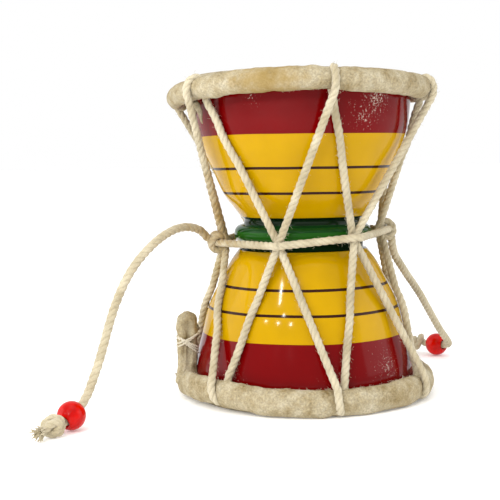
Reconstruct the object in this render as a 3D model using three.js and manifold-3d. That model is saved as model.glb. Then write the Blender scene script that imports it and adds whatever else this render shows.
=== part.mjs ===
// A small damaru: a turned wooden hourglass drum with two laced skin heads and two
// free striker cords. Millimetres, +Z up. The drum stands on its lower head at z = 0,
// centred on the Z axis, and azimuths run from -Y (the front) towards +X, in degrees.
import * as THREE from 'three';
import { mergeVertices } from 'three/addons/utils/BufferGeometryUtils.js';
import Module from 'manifold-3d';

const wasm = await Module();
wasm.setup();

// ---- driving dimensions ----
const drumHeight = 123; // floor to the top skin
const waistZ = 62.5;
const skinThickness = 1.4;
const gap = 0.3; // kept between touching pieces
const ropeDiameter = 3.0; // lacing and waist cord
const strikerDiameter = 3.3;
const beadDiameter = 10;
const beadHole = 4.1;
const loopCount = 6; // lacing loops on each head
const turnedSides = 30;
const ropeSides = 5;
const cordSides = 8;

// The outside of each bowl, as [distance from the waist, radius]
const upperBowl = [[6.6, 23.9], [10.5, 26.8], [16, 30.8], [25.1, 34.7], [37.1, 39.8], [48, 41.6], [59.1, 42.3]];
const lowerBowl = [[6.1, 25.0], [10.5, 28.2], [19.1, 32.8], [28.3, 37.2], [37.9, 39.7], [50, 42.6], [60.8, 43.3]];
const hollow = [[0, 12.5], [5, 13], [9, 18.5], [16, 25], [25, 30.0], [37, 34.6], [50, 37.2], [60.8, 38]];

// The waist between the bowls: a bead between two grooves
const grooveRadius = 22.8;
const beadBand = { z: 62.8, radius: 26.6, halfHeight: 3.4 };

// The hoop rolled into the edge of each skin, and how far it sags at every 45 degrees
const topRoll = { radius: 47.8, z: 118.8, halfWidth: 4.0, halfHeight: 4.2 };
const bottomRoll = { radius: 46.7, z: 5.0, halfWidth: 3.3, halfHeight: 5.0 };
const topSag = [0, -1.2, -1.9, -1.7, -1.5, -2.4, -3.8, -1.5];
const bottomRise = [0.2, 0.3, 0.4, 0.2, 0.2, 0.3, 0.8, 1.9];
const topSwell = [0, -0.3, -1.6, -0.6, 0, 0.2, 0.2, 0];
const bottomSwell = [0.1, 0, 0.2, 0, 0, 0, 0, -0.4];

// Where the lacing goes: a loop on each head, and the crossings at the waist between them
const topLoops = [-52, 13, 74, 133, 193, 252];
const bottomLoops = [-43, 13.5, 64, 125, 185, 255];
const crossings = [[-15, 59.8], [38, 62.2], [98, 63.2], [160, 62.5], [220, 61], [280, 59.5]];
const crossingRadius = 30.3;
const pinch = 0.3; // each strand's offset from crossingRadius

// ---- helpers ----
const radians = THREE.MathUtils.degToRad;

function around(azimuth, radius, z) {
  const a = radians(azimuth);
  return new THREE.Vector3(radius * Math.sin(a), -radius * Math.cos(a), z);
}

// A smooth value at any azimuth from one value every 45 degrees
function byAzimuth(values, azimuth) {
  const step = 360 / values.length;
  const place = (((azimuth % 360) + 360) % 360) / step;
  const i = Math.floor(place);
  const t = place - i;
  const at = (k) => values[(k + values.length) % values.length];
  const [a, b, c, d] = [at(i - 1), at(i), at(i + 1), at(i + 2)];
  return b + 0.5 * t * (c - a + t * (2 * a - 5 * b + 4 * c - d + t * (3 * (b - c) + d - a)));
}

// Points of a smooth curve through [distance, radius] pairs, as [distance, radius]
function smoothProfile(pairs, steps) {
  const curve = new THREE.SplineCurve(pairs.map(([d, r]) => new THREE.Vector2(d, r)));
  return curve.getPoints(steps);
}

// The same profile moved out by a clearance, square to its surface
function offsetProfile(points, clearance) {
  return points.map((p, i) => {
    const along = points[Math.min(i + 1, points.length - 1)].clone().sub(points[Math.max(i - 1, 0)]).normalize();
    return new THREE.Vector2(p.x - clearance * along.y, p.y + clearance * along.x);
  });
}

function radiusAt(points, distance) {
  const i = Math.max(1, points.findIndex((p) => p.x >= distance));
  const [a, b] = distance > points.at(-1).x ? points.slice(-2) : [points[i - 1], points[i]];
  return THREE.MathUtils.mapLinear(distance, a.x, b.x, a.y, b.y);
}

// A curve whose sections fall on its own points, so the points say where it is fine
class Route extends THREE.CatmullRomCurve3 {
  getPointAt(u) {
    return this.getPoint(u);
  }
  getTangentAt(u) {
    return this.getTangent(u);
  }
  getSpacedPoints(steps) {
    return this.getPoints(steps);
  }
}

function ropeGeometry(points, diameter, sides) {
  const section = new THREE.Shape();
  const reach = diameter / 2 / Math.sqrt(Math.cos(Math.PI / sides)); // between the corners and flats
  for (let i = 0; i < sides; i++) {
    const a = (2 * Math.PI * i) / sides;
    if (i === 0) section.moveTo(reach, 0);
    else section.lineTo(reach * Math.cos(a), reach * Math.sin(a));
  }
  const extrudePath = new Route(points);
  return new THREE.ExtrudeGeometry(section, { extrudePath, steps: points.length - 1, bevelEnabled: false });
}

function solid(geometry) {
  const bare = geometry.clone();
  bare.deleteAttribute('normal');
  bare.deleteAttribute('uv');
  const merged = mergeVertices(bare, 1e-4);
  return new wasm.Manifold(
    new wasm.Mesh({
      numProp: 3,
      vertProperties: merged.attributes.position.array,
      triVerts: new Uint32Array(merged.index.array),
    })
  );
}

function fromSolid(manifold) {
  const { vertProperties, triVerts } = manifold.getMesh();
  const geometry = new THREE.BufferGeometry();
  geometry.setAttribute('position', new THREE.BufferAttribute(new Float32Array(vertProperties), 3));
  geometry.setIndex(new THREE.BufferAttribute(new Uint32Array(triVerts), 1));
  geometry.computeVertexNormals();
  return geometry;
}

const join = (parts) => parts.reduce((whole, part) => whole.add(part));

// A lathe about Z from [radius, z] pairs
function turned(pairs, sides) {
  const points = pairs.map(([r, z]) => new THREE.Vector2(r, z));
  return new THREE.LatheGeometry(points, sides).rotateX(Math.PI / 2);
}

// ---- the shell ----
const bowlSteps = 6;
const upperOutside = smoothProfile(upperBowl, bowlSteps);
const lowerOutside = smoothProfile(lowerBowl, bowlSteps);

// How far out a rope or strip of the given half thickness has to be to clear the bowls
function clearRadius(z, halfThickness) {
  const outside = offsetProfile(z > waistZ ? upperOutside : lowerOutside, halfThickness + gap);
  return Math.max(beadBand.radius, radiusAt(outside, Math.abs(z - waistZ)));
}

function waistProfile() {
  const { z, radius, halfHeight } = beadBand;
  const low = waistZ - lowerBowl[0][0];
  const high = waistZ + upperBowl[0][0];
  const pairs = [[grooveRadius + 0.6, low + 0.3], [grooveRadius + 0.6, z - halfHeight]];
  for (let a = -60; a <= 60; a += 40) {
    const swell = (radius - grooveRadius) * Math.cos(radians(a));
    pairs.push([grooveRadius + swell, z + halfHeight * Math.sin(radians(a))]);
  }
  pairs.push([grooveRadius, z + halfHeight], [grooveRadius, high - 0.3]);
  return pairs;
}

function drumShell() {
  const top = drumHeight - skinThickness - gap;
  const bottom = skinThickness + gap;
  const outside = [
    ...lowerOutside.map((p) => [p.y, waistZ - p.x]).reverse(),
    ...waistProfile(),
    ...upperOutside.map((p) => [p.y, waistZ + p.x]),
  ];
  outside[0][1] = bottom;
  outside.at(-1)[1] = top;
  const half = smoothProfile(hollow, 4).map((p) => [p.y, p.x]);
  const inside = [
    ...half.map(([r, d]) => [r, waistZ + d]).reverse(),
    ...half.slice(1).map(([r, d]) => [r, waistZ - d]),
  ];
  inside[0][1] = top;
  inside.at(-1)[1] = bottom;
  return turned([...outside, ...inside, outside[0]], turnedSides);
}

// ---- lacing ----
// Round each hoop: [outward, towards the drum's end] from the hoop's centre
const topTurn = [[3.6, -4.2], [4.5, -0.8], [3.4, 2.6], [0.6, 3.7], [-1.9, 1.8], [-2.3, -4.6]];
const bottomTurn = [[2.6, -5.4], [3.5, -1.2], [2.6, 2.2], [0.7, 3.1], [-0.9, 1.4], [-1.1, -5.8]];
const ends = {
  top: { roll: topRoll, shift: topSag, swell: topSwell, loops: topLoops, turn: topTurn, up: 1 },
  bottom: { roll: bottomRoll, shift: bottomRise, swell: bottomSwell, loops: bottomLoops, turn: bottomTurn, up: -1 },
};
const crossingOverlap = 1.2; // each V of the lacing runs on past a crossing, into the next one
const legSteps = 4;
const legSlack = 0.6; // room for the flats between a leg's sections

function turnPoint(end, azimuth, [outward, endward]) {
  const { roll, shift, swell, up } = end;
  const z = roll.z + byAzimuth(shift, azimuth) + up * endward;
  return around(azimuth, roll.radius + outward + (outward > 0 ? byAzimuth(swell, azimuth) : 0), z);
}

// Strands that rise to the right pass outside those that fall to the right
function crossingPoint(index, outerStrand) {
  const [azimuth, z] = crossings[(index + loopCount) % loopCount];
  return around(azimuth, crossingRadius + (outerStrand ? pinch : -pinch), z);
}

// A straight stretch, pushed out to lie on the shell where it would cut into it
function legPoints(from, to) {
  const points = [];
  for (let i = 1; i < legSteps; i++) {
    const p = from.clone().lerp(to, i / legSteps);
    const flat = Math.hypot(p.x, p.y);
    const out = Math.max(1, clearRadius(p.z, ropeDiameter / 2 + legSlack) / flat);
    points.push(new THREE.Vector3(p.x * out, p.y * out, p.z));
  }
  return points;
}

// One V of the lacing: from a crossing, over a hoop and back under it to the next crossing
function lacingPoints(end, index) {
  const azimuth = end.loops[index];
  const top = end.up > 0;
  const turn = end.turn.map((pair) => turnPoint(end, azimuth, pair));
  const start = crossingPoint(index - 1, top);
  const finish = crossingPoint(index, !top);
  const before = start.clone().addScaledVector(start.clone().sub(turn[0]).normalize(), crossingOverlap);
  const after = finish.clone().addScaledVector(finish.clone().sub(turn.at(-1)).normalize(), crossingOverlap);
  return [
    before,
    start,
    ...legPoints(start, turn[0]),
    ...turn,
    ...legPoints(turn.at(-1), finish),
    finish,
    after,
  ];
}

function lacing(diameter) {
  const vees = [];
  for (const end of [ends.top, ends.bottom]) {
    for (let i = 0; i < loopCount; i++) {
      vees.push(solid(ropeGeometry(lacingPoints(end, i), diameter, ropeSides)));
    }
  }
  return join(vees);
}

// ---- drumheads ----
// Moves the hoop of a turned head up, down and out by azimuth; the skin inside stays put
function shapeHoop(geometry, end) {
  const position = geometry.attributes.position;
  const inner = end.roll.radius - end.roll.halfWidth - 0.3;
  for (let i = 0; i < position.count; i++) {
    const [x, y, z] = [position.getX(i), position.getY(i), position.getZ(i)];
    const radius = Math.hypot(x, y);
    if (radius < inner) continue;
    const azimuth = THREE.MathUtils.radToDeg(Math.atan2(x, -y));
    const share = THREE.MathUtils.smoothstep(radius, inner, end.roll.radius);
    const out = 1 + (share * byAzimuth(end.swell, azimuth)) / radius;
    position.setXYZ(i, x * out, y * out, z + share * byAzimuth(end.shift, azimuth));
  }
  return geometry;
}

function headProfile(end, skinZ, shellSide) {
  const { radius, z, halfWidth, halfHeight } = end.roll;
  const rim = shellSide + 0.4;
  const inner = skinZ - end.up * skinThickness;
  const pairs = [[0, skinZ], [rim - 1.5, skinZ]];
  for (let a = 125; a >= -125; a -= 250 / 7) {
    const s = radians(a);
    pairs.push([radius + halfWidth * Math.cos(s), z + end.up * halfHeight * Math.sin(s)]);
  }
  const skirt = z - end.up * (halfHeight + 1.4);
  pairs.push([rim + 0.9, skirt], [rim, skirt - end.up * 0.2], [rim, inner], [0, inner]);
  return end.up > 0 ? pairs.reverse() : pairs;
}

function topHead(rope) {
  const profile = headProfile(ends.top, drumHeight, upperBowl.at(-1)[1]);
  return solid(shapeHoop(turned(profile, turnedSides), ends.top)).subtract(rope);
}

// The skin's spare end, twisted and folded over, standing up beside the shell
const tail = { azimuth: -75, outer: 47.9, inner: 44.4, top: 31.2, foot: 6, diameter: 4.3 };

function tailPoints() {
  const { azimuth, outer, inner, top, foot } = tail;
  const middle = (outer + inner) / 2;
  const half = (outer - inner) / 2;
  const points = [];
  const rise = 4;
  for (let i = 0; i < rise; i++) {
    const z = THREE.MathUtils.lerp(foot, top - half, i / rise);
    points.push(around(azimuth, outer, z));
  }
  for (let a = 0; a <= 180; a += 45) {
    points.push(around(azimuth, middle + half * Math.cos(radians(a)), top - half + half * Math.sin(radians(a))));
  }
  for (let i = rise - 1; i >= 0; i--) {
    const z = THREE.MathUtils.lerp(foot, top - half, i / rise);
    points.push(around(azimuth, Math.max(inner, clearRadius(z, tail.diameter / 2)), z));
  }
  return points;
}

// Twine wound round both strands of the tail
const bindingDiameter = 1.0;

function bindingPoints() {
  const { azimuth, outer, inner, top, diameter } = tail;
  const middle = (outer + inner) / 2;
  const [halfWide, halfDeep] = [(outer - inner) / 2 + diameter / 2 + 1.1, diameter / 2 + 1.5];
  const points = [];
  const turns = 2;
  const stepsEach = 8;
  for (let i = 0; i <= turns * stepsEach; i++) {
    const a = (2 * Math.PI * i) / stepsEach;
    const outward = halfWide * Math.cos(a);
    const sideways = halfDeep * Math.sin(a);
    const place = around(azimuth, middle + outward, top - 7.5 - (4.6 * i) / (turns * stepsEach));
    const across = around(azimuth + 90, sideways, 0);
    points.push(place.add(across));
  }
  return points;
}

function bottomHead(rope) {
  const profile = headProfile(ends.bottom, 0, lowerBowl.at(-1)[1]);
  const head = solid(shapeHoop(turned(profile, turnedSides), ends.bottom));
  const strip = solid(ropeGeometry(tailPoints(), tail.diameter, cordSides));
  return head.add(strip).subtract(rope);
}

// ---- waist cord ----
const wrapRadius = ropeDiameter + gap + 0.65; // how far the cord's middle passes from a crossing's

// The belt that a taut cord makes round the six crossings
function beltPoints() {
  const posts = crossings.map(([azimuth, z]) => around(azimuth, crossingRadius, z));
  const points = [];
  posts.forEach((post, i) => {
    const before = posts[(i + loopCount - 1) % loopCount];
    const after = posts[(i + 1) % loopCount];
    for (const [a, b] of [[before, post], [null, null], [post, after]]) {
      const side = a ? b.clone().sub(a) : after.clone().sub(before);
      const outward = new THREE.Vector3(side.y, -side.x, 0).normalize();
      points.push(post.clone().addScaledVector(outward, wrapRadius));
    }
  });
  return points;
}

// The outside of a hitch: a turn of the cord up over the belt at a crossing
function hitchPoints(index, lean, shift) {
  const [azimuth, z] = crossings[index];
  const points = [];
  const steps = 5;
  for (let i = 0; i <= steps; i++) {
    const a = radians(-80 + (160 * i) / steps);
    const radius = crossingRadius + wrapRadius + 2.0 * Math.cos(a);
    points.push(around(azimuth + shift + lean * Math.sin(a), radius, z + 2.4 * Math.sin(a)));
  }
  return points;
}

function waistCord(strikers) {
  const belt = beltPoints();
  const half = Math.ceil(belt.length / 2);
  const halves = [belt.slice(0, half + 1), [...belt.slice(half), belt[0]]];
  const strands = halves.map((points) => ropeGeometry(points, ropeDiameter, ropeSides));
  const hitches = [hitchPoints(5, 3, 2), hitchPoints(5, -3, -4), hitchPoints(2, 2, 0)];
  strands.push(...hitches.map((points) => ropeGeometry(points, ropeDiameter, ropeSides)));
  const joints = [belt[0], belt[half]].map((p) => {
    return new THREE.SphereGeometry(ropeDiameter / 2, 8, 6).translate(p.x, p.y, p.z);
  });
  return join([...strands, ...joints].map(solid)).subtract(strikers);
}

// ---- striker cords ----
// Each route runs from the knot at the waist, down to the floor and through the bead
const leftRoute = [
  [-36.3, -7.4, 61.0], [-37.9, -9.3, 63.2], [-39.8, -11.9, 65.0], [-42.9, -16.0, 66.1], [-46.2, -20.4, 66.0],
  [-49.6, -24.9, 64.6], [-53.0, -29.4, 62.2], [-56.1, -33.4, 59.2], [-59.2, -37.5, 55.4], [-62.0, -41.1, 50.9],
  [-64.4, -44.3, 45.7], [-66.5, -47.0, 39.9], [-68.2, -49.3, 33.8], [-69.8, -51.4, 27.4], [-71.4, -53.4, 21.4],
  [-73.1, -55.5, 16.0], [-74.8, -57.3, 11.2], [-77.1, -60.1, 7.0], [-79.2, -63.7, 5.3], [-81.3, -67.3, 3.6],
];
const rightRoute = [
  [34.7, 4.4, 60.4], [35.2, 6.6, 57.0], [36.6, 10.6, 52.4], [39.6, 16.8, 47.6], [43.0, 24.0, 42.5], [46.6, 31.6, 37.4],
  [50.2, 39.0, 31.9], [53.6, 46.0, 26.1], [57.0, 52.8, 20.3], [60.2, 58.8, 15.0], [62.9, 63.6, 11.1],
  [64.9, 67.7, 8.2], [65.6, 71.0, 6.3], [64.1, 74.0, 5.4], [61.0, 77.0, 5.2], [57.9, 80.1, 5.0],
];
const beadAt = { left: 18, right: 14 }; // the route point at the middle of each bead

const toPoints = (route) => route.map((p) => new THREE.Vector3(...p));

function bead(route, index) {
  const points = toPoints(route);
  const outer = beadDiameter / 2;
  const mouth = beadHole / 2;
  const pairs = [];
  for (let a = -60; a <= 60; a += 30) {
    pairs.push([outer * Math.cos(radians(a)), outer * Math.sin(radians(a))]);
  }
  const face = outer * Math.sin(radians(60)) - 0.25;
  pairs.push([mouth + 0.2, face], [mouth, face - 0.6], [mouth, 0.6 - face], [mouth + 0.2, -face], pairs[0]);
  const geometry = turned(pairs, 12);
  return place(geometry, points[index], points[index + 1].clone().sub(points[index - 1]));
}

function place(geometry, at, direction) {
  const turn = new THREE.Quaternion().setFromUnitVectors(new THREE.Vector3(0, 0, 1), direction.normalize());
  return geometry.applyQuaternion(turn).translate(at.x, at.y, at.z);
}

// The stopper knot past the bead, with the cord's frayed end beyond it
const knot = { start: 0.8, length: 8.5, radius: 3.2, fray: 5.5 };

function strikerKnot(route, run) {
  const points = toPoints(route);
  const end = points.at(-1);
  const direction = new THREE.Vector3(...run).normalize();
  const { start, length, radius, fray } = knot;
  const pairs = [[0, start], [2.2, start], [radius, 2.8], [radius, 5.6], [2.0, length], [1.8, length + 0.8]];
  pairs.push([2.5, length + fray * 0.6], [1.8, length + fray], [0, length + fray]);
  const body = solid(place(turned(pairs, 10), end, direction.clone()));
  const wrap = new THREE.TorusGeometry(radius - 0.9, strikerDiameter / 2 - 0.4, 5, 10).rotateX(radians(35));
  const middle = end.clone().addScaledVector(direction, length / 2);
  return body.add(solid(place(wrap, middle, direction)));
}

// ---- the drum ----
const lacquer = { color: 0xdca800, roughness: 0.25, metalness: 0 };
const skin = { color: 0xcfc2a4, roughness: 0.85, metalness: 0 };
const cotton = { color: 0xcbbf9f, roughness: 0.95, metalness: 0 };
const plastic = { color: 0xe0140f, roughness: 0.2, metalness: 0 };

const drum = new THREE.Group();

function addPiece(name, geometry, finish) {
  const mesh = new THREE.Mesh(geometry, new THREE.MeshStandardMaterial(finish));
  mesh.name = name;
  drum.add(mesh);
}

const rope = lacing(ropeDiameter);
const ropeRoom = lacing(ropeDiameter + 2 * gap);
const binding = ropeGeometry(bindingPoints(), bindingDiameter, ropeSides);
const strikers = [leftRoute, rightRoute].map((route) => ropeGeometry(toPoints(route), strikerDiameter, cordSides));
const strikerRoom = join(
  [leftRoute, rightRoute].map((route) => {
    const points = toPoints(route).slice(0, 4);
    const back = points[0].clone().multiplyScalar(2).sub(points[1]).sub(points[0]).setLength(gap);
    const start = points[0].clone().add(back);
    return solid(ropeGeometry([start, ...points], strikerDiameter + 2 * gap, cordSides));
  })
);

addPiece('drum_shell', drumShell(), lacquer);
addPiece('top_drumhead', fromSolid(topHead(ropeRoom)), skin);
addPiece('bottom_drumhead', fromSolid(bottomHead(ropeRoom)), skin);
addPiece('tail_binding', binding, cotton);
addPiece('lacing_rope', fromSolid(rope), cotton);
addPiece('waist_cord', fromSolid(waistCord(strikerRoom)), cotton);
addPiece('striker_cord_left', strikers[0], cotton);
addPiece('striker_cord_right', strikers[1], cotton);
addPiece('striker_bead_left', bead(leftRoute, beadAt.left), plastic);
addPiece('striker_bead_right', bead(rightRoute, beadAt.right), plastic);
addPiece('striker_knot_left', fromSolid(strikerKnot(leftRoute, [-0.42, -1, -0.02])), cotton);
addPiece('striker_knot_right', fromSolid(strikerKnot(rightRoute, [-0.8, 0.7, -0.06])), cotton);

export default drum;
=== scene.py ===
import math

import bpy
import numpy as np
from mathutils import Euler, Matrix, Vector, noise


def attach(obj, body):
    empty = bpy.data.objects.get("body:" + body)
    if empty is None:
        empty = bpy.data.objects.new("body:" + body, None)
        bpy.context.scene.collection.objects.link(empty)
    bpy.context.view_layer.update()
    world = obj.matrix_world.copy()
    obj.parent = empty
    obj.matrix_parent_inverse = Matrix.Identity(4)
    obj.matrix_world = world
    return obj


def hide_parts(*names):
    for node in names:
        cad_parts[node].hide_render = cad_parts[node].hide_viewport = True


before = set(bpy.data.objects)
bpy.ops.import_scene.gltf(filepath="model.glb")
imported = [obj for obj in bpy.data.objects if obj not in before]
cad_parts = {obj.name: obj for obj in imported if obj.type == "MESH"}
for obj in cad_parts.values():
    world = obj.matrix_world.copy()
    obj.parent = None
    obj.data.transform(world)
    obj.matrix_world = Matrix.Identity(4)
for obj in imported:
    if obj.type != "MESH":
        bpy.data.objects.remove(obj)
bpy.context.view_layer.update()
mm = 0.001
print("frame loaded")


def linear(hexColour):
    # an sRGB hex colour as Blender's linear one
    values = [int(hexColour[i:i + 2], 16) / 255 for i in (1, 3, 5)]
    return [v / 12.92 if v <= 0.04045 else ((v + 0.055) / 1.055) ** 2.4 for v in values] + [1.0]


def addNode(tree, kind, settings=None, **links):
    # a socket is named by its label or its number; the value is a plain value or another node's output
    node = tree.nodes.new(kind)
    for name, value in (settings or {}).items():
        setattr(node, name, value)
    for name, value in links.items():
        key = int(name[1:]) if name[0] == "i" and name[1:].isdigit() else name.replace("_", " ")
        socket = node.inputs[key]
        if isinstance(value, bpy.types.NodeSocket):
            tree.links.new(value, socket)
        else:
            socket.default_value = value
    return node


def newPiece(name, points, faces, materials, smooth=True):
    mesh = bpy.data.meshes.new(name)
    mesh.from_pydata([tuple(p) for p in points], [], faces)
    mesh.validate()
    for material in materials:
        mesh.materials.append(material)
    if smooth:
        mesh.shade_smooth()
    piece = bpy.data.objects.new(name, mesh)
    bpy.context.scene.collection.objects.link(piece)
    return piece


def evaluatedPiece(name, holder):
    # the finished mesh of an object with modifiers, as a plain piece; the object itself goes
    deps = bpy.context.evaluated_depsgraph_get()
    mesh = bpy.data.meshes.new_from_object(holder.evaluated_get(deps), depsgraph=deps)
    bpy.data.objects.remove(holder)
    mesh.name = name
    piece = bpy.data.objects.new(name, mesh)
    bpy.context.scene.collection.objects.link(piece)
    return piece


def runTree(holder, tree, sizes):
    modifier = holder.modifiers.new(tree.name, "NODES")
    modifier.node_group = tree
    for item in tree.interface.items_tree:
        if item.in_out == "INPUT" and item.name in sizes:
            modifier[item.identifier] = sizes[item.name]


def around(azimuth, radius, z):
    # azimuths run from straight in front towards +X, in degrees
    a = math.radians(azimuth)
    return np.array([radius * math.sin(a), -radius * math.cos(a), z])


def catmullRom(a, b, c, d, t):
    return b + 0.5 * t * (c - a + t * (2 * a - 5 * b + 4 * c - d + t * (3 * (b - c) + d - a)))


def byAzimuth(values, azimuth):
    # smooth between values that stand evenly round the drum, the first one in front
    count = len(values)
    place = (azimuth % 360) / (360 / count)
    i = int(place)
    t = place - i
    a, b, c, d = (values[(i + k) % count] for k in (-1, 0, 1, 2))
    return catmullRom(a, b, c, d, t)


def smoothLine(points, step):
    # a Catmull-Rom curve through the points, as points about one step apart
    p = np.array(points, float)
    p = np.vstack([2 * p[0] - p[1], p, 2 * p[-1] - p[-2]])
    line = []
    for i in range(1, len(p) - 2):
        a, b, c, d = p[i - 1:i + 3]
        count = max(2, math.ceil(np.linalg.norm(c - b) / step))
        for k in range(count):
            line.append(catmullRom(a, b, c, d, k / count))
    line.append(p[-2])
    return np.array(line)


def ringFaces(sides, count):
    # quads over a closed outline turned round an axis, its points one turn step after another
    faces = []
    for k in range(sides):
        a, b = k * count, (k + 1) % sides * count
        faces += [(a + i, b + i, b + (i + 1) % count, a + (i + 1) % count) for i in range(count)]
    return faces


def fit(piece, nodes):
    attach(piece, "root")
    for name in nodes:
        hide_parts(name)


# the camera's distance, height and lens in mm, and its turns in degrees
viewpoint = {"distance": 430, "height": 91, "lens": 79.5, "pitch": 4.66, "yaw": 2.75, "roll": 0.85}


def addCamera(v):
    data = bpy.data.cameras.new("camera")
    data.lens = v["lens"]
    data.sensor_width = 36
    data.clip_start = 0.01
    camera = bpy.data.objects.new("camera", data)
    camera.location = (0, -v["distance"] * mm, v["height"] * mm)
    turn = Euler((math.radians(90 - v["pitch"]), 0, math.radians(v["yaw"]))).to_matrix()
    camera.rotation_euler = (turn @ Matrix.Rotation(math.radians(-v["roll"]), 3, "Z")).to_euler()
    bpy.context.scene.collection.objects.link(camera)
    bpy.context.scene.camera = camera


addCamera(viewpoint)
bpy.context.scene.view_settings.view_transform = "Standard"
print("camera placed")


def newMaterial(name):
    material = bpy.data.materials.new(name)
    material.use_nodes = True
    tree = material.node_tree
    return material, tree, tree.nodes["Principled BSDF"]


def stained(tree, place, colour, stains):
    # each stain: its middle and reach in mm, its strength and its colour; noise breaks up its edge
    for at, reach, strength, tint in stains:
        away = addNode(tree, "ShaderNodeVectorMath", {"operation": "DISTANCE"},
                       i0=place, i1=[v * mm for v in at])
        cloud = addNode(tree, "ShaderNodeTexNoise", Vector=place, Scale=1 / (3 * mm), Detail=4.0)
        frayed = addNode(tree, "ShaderNodeMath", {"operation": "MULTIPLY_ADD"},
                         i0=cloud.outputs["Fac"], i1=1.4 * reach * mm, i2=away.outputs["Value"])
        cover = addNode(tree, "ShaderNodeMapRange", Value=frayed.outputs[0], From_Min=0.9 * reach * mm,
                        From_Max=1.6 * reach * mm, To_Min=strength, To_Max=0.0)
        colour = addNode(tree, "ShaderNodeMix", {"data_type": "RGBA"},
                         i0=cover.outputs[0], i6=colour, i7=linear(tint)).outputs[2]
    return colour


# dye rubbed off the shell onto the legs near the waist
cottonStains = [
    ((-31, -4, 73), 26, 0.85, "#8C6C22"),
    ((26, -8, 73), 14, 0.4, "#94803C"),
    ((-31, -3, 50), 12, 0.4, "#94803C"),
]
yarns = {"round": 9, "pitch": 2.4, "fuzz": 0.35, "patch": 9}


def cottonMaterial(name, pale, deep, hollowShade):
    # twisted raw cotton: no shine, yarns that lie across each strand, painted shade in the hollows between them
    material, tree, shader = newMaterial(name)
    aroundStrand = addNode(tree, "ShaderNodeAttribute", {"attribute_name": "around"})
    along = addNode(tree, "ShaderNodeAttribute", {"attribute_name": "along"})
    # the yarns round a strand each lean the other way from the strands
    lean = addNode(tree, "ShaderNodeMath", {"operation": "MULTIPLY"},
                   i0=along.outputs["Fac"], i1=2 * math.pi / (yarns["pitch"] * mm))
    turn = addNode(tree, "ShaderNodeMath", {"operation": "MULTIPLY_ADD"},
                   i0=aroundStrand.outputs["Fac"], i1=2 * math.pi * yarns["round"], i2=lean.outputs[0])
    yarn = addNode(tree, "ShaderNodeMath", {"operation": "SINE"}, i0=turn.outputs[0])
    place = addNode(tree, "ShaderNodeTexCoord").outputs["Object"]
    fuzz = addNode(tree, "ShaderNodeTexNoise", Vector=place, Scale=1 / (yarns["fuzz"] * mm), Detail=3.0)
    patches = addNode(tree, "ShaderNodeTexNoise", Vector=place, Scale=1 / (yarns["patch"] * mm), Detail=2.0)
    tone = addNode(tree, "ShaderNodeMapRange", Value=patches.outputs["Fac"], From_Min=0.35, From_Max=0.65)
    base = addNode(tree, "ShaderNodeMix", {"data_type": "RGBA"},
                   i0=tone.outputs[0], i6=linear(deep), i7=linear(pale))
    # painted shade: where a strand faces into the rope it is darkened towards the third colour
    core = addNode(tree, "ShaderNodeAttribute", {"attribute_name": "outward"})
    hollow = addNode(tree, "ShaderNodeMapRange", Value=core.outputs["Fac"], From_Min=-0.2, From_Max=0.75,
                     To_Min=0.42, To_Max=0.0)
    shadedHollows = addNode(tree, "ShaderNodeMix", {"data_type": "RGBA"},
                    i0=hollow.outputs[0], i6=base.outputs[2], i7=linear(hollowShade))
    flecks = addNode(tree, "ShaderNodeMapRange", Value=fuzz.outputs["Fac"], From_Min=0.3, From_Max=0.7,
                     To_Min=0.86, To_Max=1.08)
    colour = addNode(tree, "ShaderNodeMix", {"data_type": "RGBA", "blend_type": "MULTIPLY"},
                     i0=1.0, i6=shadedHollows.outputs[2], i7=flecks.outputs[0])
    tree.links.new(stained(tree, place, colour.outputs[2], cottonStains), shader.inputs["Base Color"])
    height = addNode(tree, "ShaderNodeMath", {"operation": "MULTIPLY_ADD"},
                     i0=yarn.outputs[0], i1=0.35, i2=fuzz.outputs["Fac"])
    bump = addNode(tree, "ShaderNodeBump", Height=height.outputs[0], Strength=0.5, Distance=0.12 * mm)
    tree.links.new(bump.outputs[0], shader.inputs["Normal"])
    shader.inputs["Roughness"].default_value = 0.95
    shader.inputs["Sheen Weight"].default_value = 0.25
    shader.inputs["Sheen Roughness"].default_value = 0.6
    shader.inputs["Specular IOR Level"].default_value = 0.2
    return material


# the third colour of each is the painted shade in the hollows between strands
cotton = cottonMaterial("rawCottonRope", "#C9BEA2", "#AFA283", "#807250")
whiteTwine = cottonMaterial("bleachedTwine", "#E2D9C4", "#CFC4AA", "#9C8E6C")


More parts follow.
